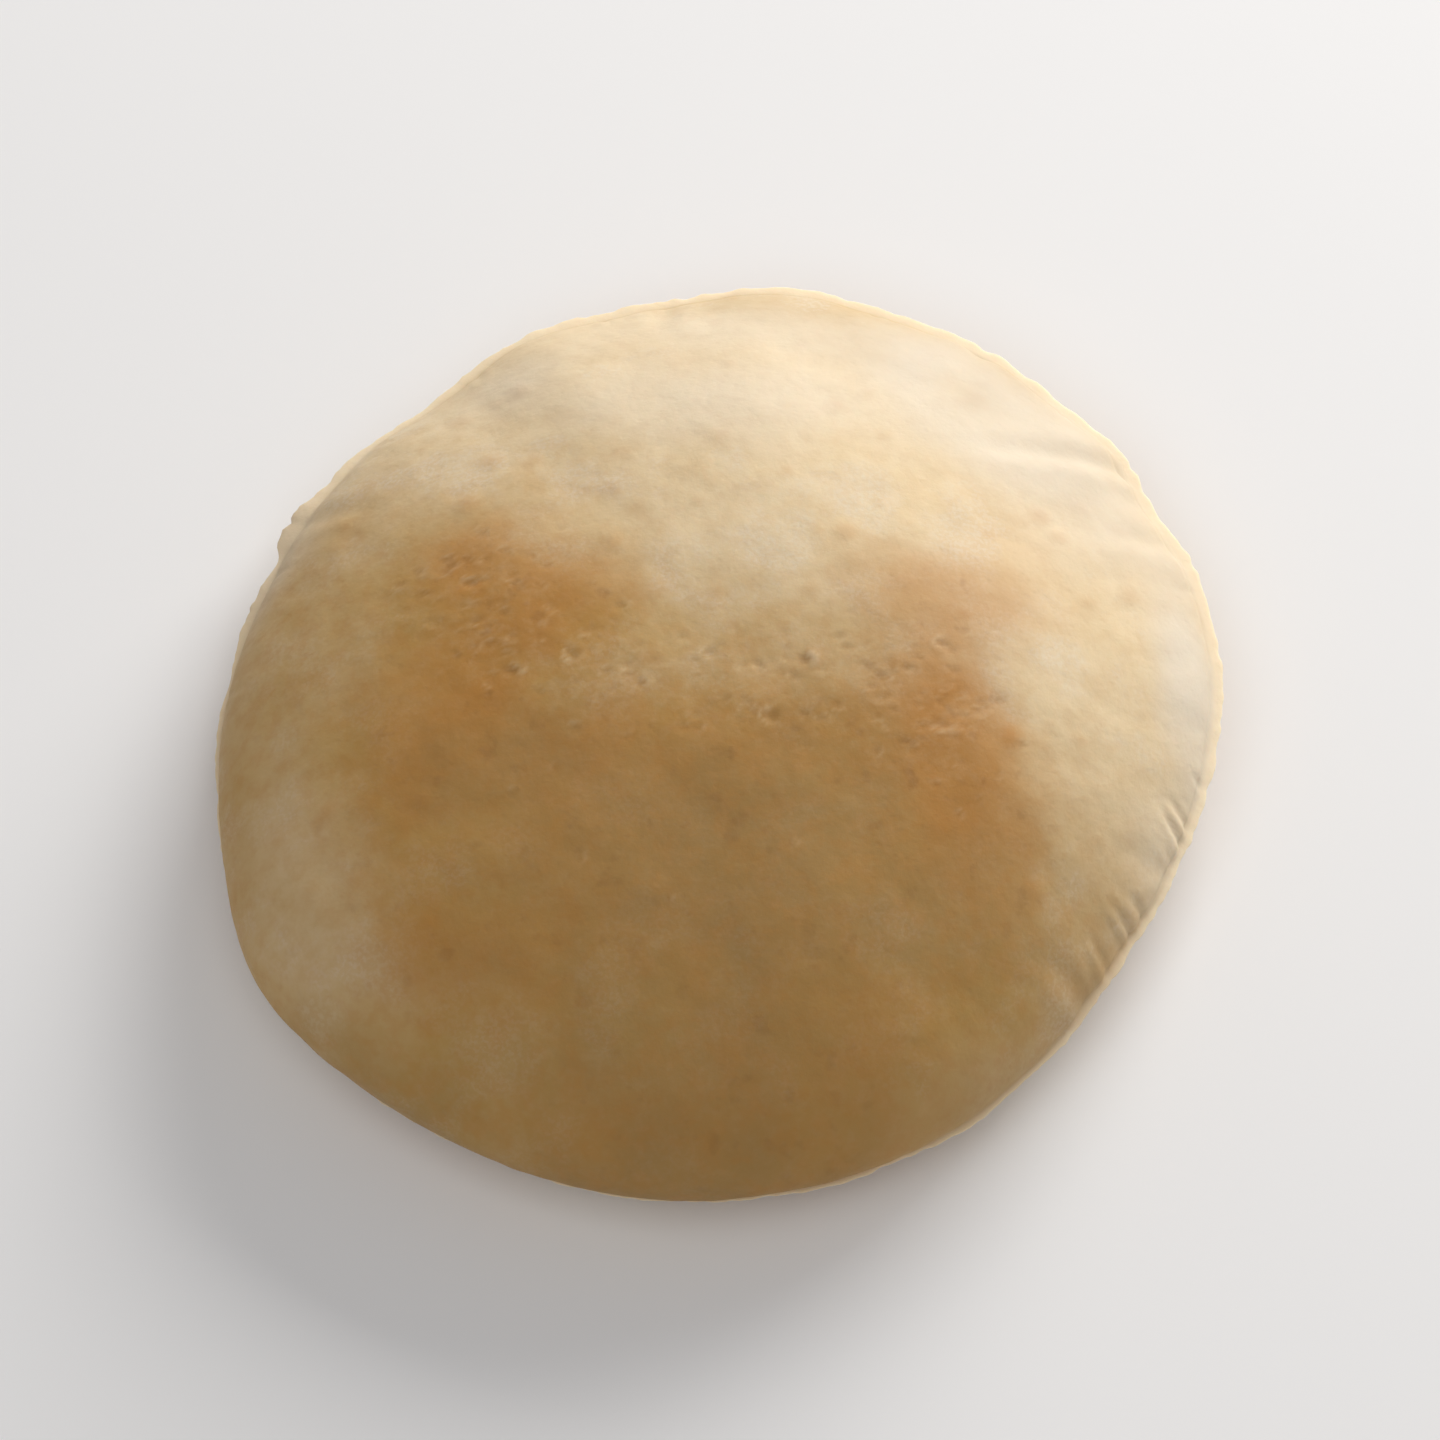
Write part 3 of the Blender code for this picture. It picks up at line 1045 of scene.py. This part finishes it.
def pore_group():
    """Fine pores of baked dough: their height for a bump, and a mask of the deepest."""
    group, inside, outside = new_group(
        "Skin Pores",
        [("Vector", "NodeSocketVector", None), ("Scale", "NodeSocketFloat", 600.0)],
        [("Height", "NodeSocketFloat"), ("Dots", "NodeSocketFloat")],
    )
    cells = group.nodes.new("ShaderNodeTexVoronoi")
    cells.feature = "F1"
    group.links.new(inside.outputs["Vector"], cells.inputs["Vector"])
    group.links.new(inside.outputs["Scale"], cells.inputs["Scale"])
    grain = group.nodes.new("ShaderNodeTexNoise")
    grain.inputs["Detail"].default_value = PORE_DETAIL
    grain.inputs["Roughness"].default_value = PORE_ROUGHNESS
    group.links.new(inside.outputs["Vector"], grain.inputs["Vector"])
    group.links.new(inside.outputs["Scale"], grain.inputs["Scale"])
    pits = range_node(group, cells.outputs["Distance"], *PORE_SIDE)
    pits = math_node(group, "MULTIPLY", pits, PORE_SHARE)
    height = math_node(group, "ADD", pits, grain.outputs["Fac"])
    group.links.new(height, outside.inputs["Height"])
    chosen = range_node(group, cells.outputs["Color"], *DOTTED)
    dots = range_node(group, cells.outputs["Distance"], *DOT_EDGE)
    dots = math_node(group, "MULTIPLY", dots, chosen)
    group.links.new(dots, outside.inputs["Dots"])
    return group


def mottle_group():
    """Cloudy unevenness of the baking, from broad clouds down to small flecks."""
    group, inside, outside = new_group(
        "Baking Mottle",
        [("Vector", "NodeSocketVector", None)],
        [(label, "NodeSocketFloat") for label in PATTERNS],
    )
    for label, pattern in PATTERNS.items():
        mask = pattern_node(group, inside.outputs["Vector"], pattern)
        group.links.new(mask, outside.inputs[label])
    return group


def flour_group():
    """Where dry flour still lies on the skin."""
    group, inside, outside = new_group(
        "Flour Dust",
        [("Vector", "NodeSocketVector", None), ("Amount", "NodeSocketFloat", 0.3)],
        [("Mask", "NodeSocketFloat")],
    )
    vector = inside.outputs["Vector"]
    patches = pattern_node(group, vector, FLOUR_CLOUDS)
    grains = pattern_node(group, vector, FLOUR_GRAINS)
    grains = strength_node(group, grains, GRAINS_SHARE, GRAINS_REST)
    dust = math_node(group, "MULTIPLY", patches, grains)
    mask = math_node(group, "MULTIPLY", dust, inside.outputs["Amount"], clamp=True)
    group.links.new(mask, outside.inputs["Mask"])
    return group


def use_group(tree, group, **inputs):
    """Places a group in a material and sets or links its inputs."""
    node = tree.nodes.new("ShaderNodeGroup")
    node.node_tree = group
    for label, value in inputs.items():
        if isinstance(value, (int, float)):
            node.inputs[label].default_value = value
        else:
            tree.links.new(value, node.inputs[label])
    return node


def mask_node(tree, name):
    node = tree.nodes.new("ShaderNodeAttribute")
    node.attribute_name = name
    return node.outputs["Fac"]


def rgba(colour):
    return (*colour, 1.0)


def baked_skin(tree, looks, masks, mottle, pores):
    """The skin's colour: pale over golden, toasted and duller patches, then the small marks. The
    pale layer carries painted light; the duller one and the hollows' darkening carry painted shade.
    """
    patterns = mottle.outputs
    toast, pallor_and_painted_light = masks["toast"], masks["pallor_and_painted_light"]
    clouds = range_node(tree, patterns["Clouds"], 0.0, 1.0, -CLOUD_SWING, CLOUD_SWING, smooth=False)
    toasted = math_node(tree, "MULTIPLY", clouds, toast)
    flecks = range_node(tree, pallor_and_painted_light, 0.0, 1.0, *FLECK_STRENGTH, smooth=False)
    dots = strength_node(tree, toast, DOT_ON_TOAST, DOT_PLAIN)
    scorch = strength_node(tree, toast, SCORCH_ON_TOAST, SCORCH_PLAIN)
    specks = strength_node(tree, masks["grain"], SPECKS_ON_GRAIN, SPECKS_PLAIN)
    layers = (
        # The pale layer carries painted light on the back and behind the middle.
        (math_node(tree, "ADD", pallor_and_painted_light, clouds, clamp=True), looks.pale),
        (math_node(tree, "ADD", toast, toasted, clamp=True), looks.brown),
        # The duller layer: partly painted shade.
        (masks["dull_and_painted_shade"], looks.dull_and_painted_shade),
        (math_node(tree, "MULTIPLY", patterns["Flecks"], flecks), looks.brown),
        (math_node(tree, "MULTIPLY", pores.outputs["Dots"], dots), looks.dark),
        (math_node(tree, "MULTIPLY", patterns["Scorch"], scorch), looks.dark),
        (math_node(tree, "MULTIPLY", patterns["Specks"], specks), looks.pale),
        # Painted shade in the hollows of the popped bubbles.
        (math_node(tree, "MULTIPLY", masks["hollow"], HOLLOW_PAINTED_SHADE), looks.dark),
        (math_node(tree, "MULTIPLY", masks["flake"], FLAKE_PALENESS), looks.pale),
    )
    skin = rgba(looks.golden)
    for share, colour in layers:
        skin = mix_node(tree, share, skin, colour)
    return skin


def crust_material(name, looks, groups):
    """Baked crust: golden skin, toasted patches, flecks, pores and a dusting of flour."""
    material = bpy.data.materials.new(name)
    material.use_nodes = True
    tree = material.node_tree
    shader = tree.nodes["Principled BSDF"]
    place = tree.nodes.new("ShaderNodeTexCoord").outputs["Object"]
    pores = use_group(tree, groups["pores"], Vector=place, Scale=1 / looks.pore_size)
    mottle = use_group(tree, groups["mottle"], Vector=place)
    masks = {mask: mask_node(tree, mask) for mask in MASKS}
    amount = FLOUR_AMOUNTS[name]
    amounts = (FLOUR_ON_GOLDEN * amount, amount)
    dusted = range_node(tree, masks["pallor_and_painted_light"], 0.0, 1.0, *amounts, smooth=False)
    spared = range_node(tree, masks["toast"], *FLOUR_ON_TOAST)
    dusted = math_node(tree, "MULTIPLY", dusted, spared)
    flour = use_group(tree, groups["flour"], Vector=place, Amount=dusted)

    skin = baked_skin(tree, looks, masks, mottle, pores)
    dust = math_node(tree, "MAXIMUM", flour.outputs["Mask"], masks["film"])
    skin = mix_node(tree, dust, skin, looks.flour)
    edge = math_node(tree, "MULTIPLY", masks["seam"], RIM_SHARE)
    skin = mix_node(tree, edge, skin, looks.rim)
    tree.links.new(skin, shader.inputs["Base Color"])

    roughness = (looks.roughness, FLOURED_ROUGHNESS)
    rough = range_node(tree, flour.outputs["Mask"], 0.0, ROUGH_AT, *roughness)
    tree.links.new(rough, shader.inputs["Roughness"])
    relief = tree.nodes.new("ShaderNodeBump")
    relief.inputs["Distance"].default_value = looks.pore_depth
    tree.links.new(pores.outputs["Height"], relief.inputs["Height"])
    tree.links.new(relief.outputs["Normal"], shader.inputs["Normal"])
    shader.inputs["Metallic"].default_value = 0.0
    shader.inputs["IOR"].default_value = 1.42
    shader.inputs["Specular IOR Level"].default_value = 0.22
    shader.inputs["Subsurface Weight"].default_value = 0.12
    shader.inputs["Subsurface Radius"].default_value = (1.0, 0.55, 0.28)
    shader.inputs["Subsurface Scale"].default_value = 0.002
    shader.inputs["Sheen Weight"].default_value = 0.03
    shader.inputs["Sheen Roughness"].default_value = 0.6
    return material


def floor_material(colour):
    material = bpy.data.materials.new("studio_floor")
    material.use_nodes = True
    shader = material.node_tree.nodes["Principled BSDF"]
    shader.inputs["Base Color"].default_value = rgba(colour)
    shader.inputs["Roughness"].default_value = 0.9
    shader.inputs["Specular IOR Level"].default_value = 0.1
    return material


# The operators.

# The stage: the floor's half width, the height that the camera looks at, its sensor and nearest
# distance, and the lights' distances, sizes and colours.
FLOOR_REACH = 3.0
AIM_HEIGHT = 0.018
SENSOR_WIDTH = 36.0
NEAREST = 0.05
CAMERA_HEADING = math.radians(-90)
KEY_DISTANCE, KEY_SIZE, KEY_COLOUR = 1.3, 0.95, (1.0, 0.975, 0.94)
FILL_DISTANCE, FILL_SIZE, FILL_COLOUR = 1.6, 1.4, (1.0, 0.99, 0.97)
FILL_HEADING, FILL_ELEVATION = math.radians(250), math.radians(62)
SKY_COLOUR = (1.0, 0.985, 1.0)


class PITA_OT_bake_round(bpy.types.Operator):
    """Makes the round of bread with its crust"""

    bl_idname = "pita.bake_round"
    bl_label = "Bake the round"

    def execute(self, context):
        shape, looks = context.scene.bread_shape, context.scene.crust_looks
        mesh, up = bake_round(shape)
        groups = {"pores": pore_group(), "mottle": mottle_group(), "flour": flour_group()}
        for name in FLOUR_AMOUNTS:
            mesh.materials.append(crust_material(name, looks, groups))
        for face in mesh.polygons:
            face.material_index = int(not all(up[corner] for corner in face.vertices))
        crust = bpy.data.objects.new("pita_crust", mesh)
        context.scene.collection.objects.link(crust)
        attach(crust, "root")
        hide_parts("pita")
        return {"FINISHED"}


def from_middle(distance, heading, elevation):
    """A place at this distance from the round, on this heading and elevation."""
    level = distance * math.cos(elevation)
    up = distance * math.sin(elevation)
    return Vector((level * math.cos(heading), level * math.sin(heading), up))


def add_area_light(context, name, place, size, power, colour):
    """A soft square light that looks at the round."""
    light = bpy.data.lights.new(name, "AREA")
    light.shape = "SQUARE"
    light.size = size
    light.energy = power
    light.color = colour
    lamp = bpy.data.objects.new(name, light)
    lamp.location = place
    lamp.rotation_euler = (-place).to_track_quat("-Z", "Y").to_euler()
    context.scene.collection.objects.link(lamp)


def add_camera(context, studio):
    """The camera, level across, looking at the middle of the round."""
    aim = Vector((0.0, 0.0, AIM_HEIGHT))
    back = from_middle(studio.camera_distance, CAMERA_HEADING, studio.camera_elevation)
    lens = bpy.data.cameras.new("camera")
    lens.sensor_width = SENSOR_WIDTH
    lens.lens = lens.sensor_width * studio.camera_distance / studio.frame_width
    lens.clip_start = NEAREST
    camera = bpy.data.objects.new("camera", lens)
    camera.location = aim + back
    camera.rotation_euler = (-back).to_track_quat("-Z", "Y").to_euler()
    context.scene.collection.objects.link(camera)
    context.scene.camera = camera


class PITA_OT_set_stage(bpy.types.Operator):
    """Lays the floor and sets the lights and the camera"""

    bl_idname = "pita.set_stage"
    bl_label = "Set the stage"

    def execute(self, context):
        studio = context.scene.studio_setting
        form = bmesh.new()
        bmesh.ops.create_grid(form, x_segments=1, y_segments=1, size=FLOOR_REACH)
        mesh = bpy.data.meshes.new("studio_floor")
        form.to_mesh(mesh)
        form.free()
        mesh.materials.append(floor_material(studio.floor_colour))
        floor = bpy.data.objects.new("studio_floor", mesh)
        context.scene.collection.objects.link(floor)
        key = from_middle(KEY_DISTANCE, studio.key_heading, studio.key_elevation)
        add_area_light(context, "key_light", key, KEY_SIZE, studio.key_power, KEY_COLOUR)
        fill = from_middle(FILL_DISTANCE, FILL_HEADING, FILL_ELEVATION)
        add_area_light(context, "fill_light", fill, FILL_SIZE, studio.fill_power, FILL_COLOUR)
        world = bpy.data.worlds.new("studio_sky")
        world.use_nodes = True
        sky = world.node_tree.nodes["Background"]
        sky.inputs["Color"].default_value = rgba(SKY_COLOUR)
        sky.inputs["Strength"].default_value = studio.sky_strength
        context.scene.world = world
        context.scene.view_settings.view_transform = "Standard"
        add_camera(context, studio)
        return {"FINISHED"}


class PITA_PT_sidebar(bpy.types.Panel):
    """The steps and settings of the round"""

    bl_idname = "PITA_PT_sidebar"
    bl_label = "Pita Bread"
    bl_space_type = "VIEW_3D"
    bl_region_type = "UI"
    bl_category = "Pita"

    def draw(self, context):
        for step in (PITA_OT_bake_round, PITA_OT_set_stage):
            self.layout.operator(step.bl_idname)
        for label in ("bread_shape", "crust_looks", "studio_setting"):
            settings = getattr(context.scene, label)
            box = self.layout.box()
            for name in settings.__annotations__:
                box.prop(settings, name)


CLASSES = (
    BreadShape,
    CrustLooks,
    StudioSetting,
    PITA_OT_bake_round,
    PITA_OT_set_stage,
    PITA_PT_sidebar,
)


def register():
    for cls in CLASSES:
        bpy.utils.register_class(cls)
    bpy.types.Scene.bread_shape = PointerProperty(type=BreadShape)
    bpy.types.Scene.crust_looks = PointerProperty(type=CrustLooks)
    bpy.types.Scene.studio_setting = PointerProperty(type=StudioSetting)


def unregister():
    del bpy.types.Scene.studio_setting
    del bpy.types.Scene.crust_looks
    del bpy.types.Scene.bread_shape
    for cls in reversed(CLASSES):
        bpy.utils.unregister_class(cls)


def main():
    register()
    bpy.ops.pita.bake_round()
    bpy.ops.pita.set_stage()


if __name__ == "__main__":
    main()
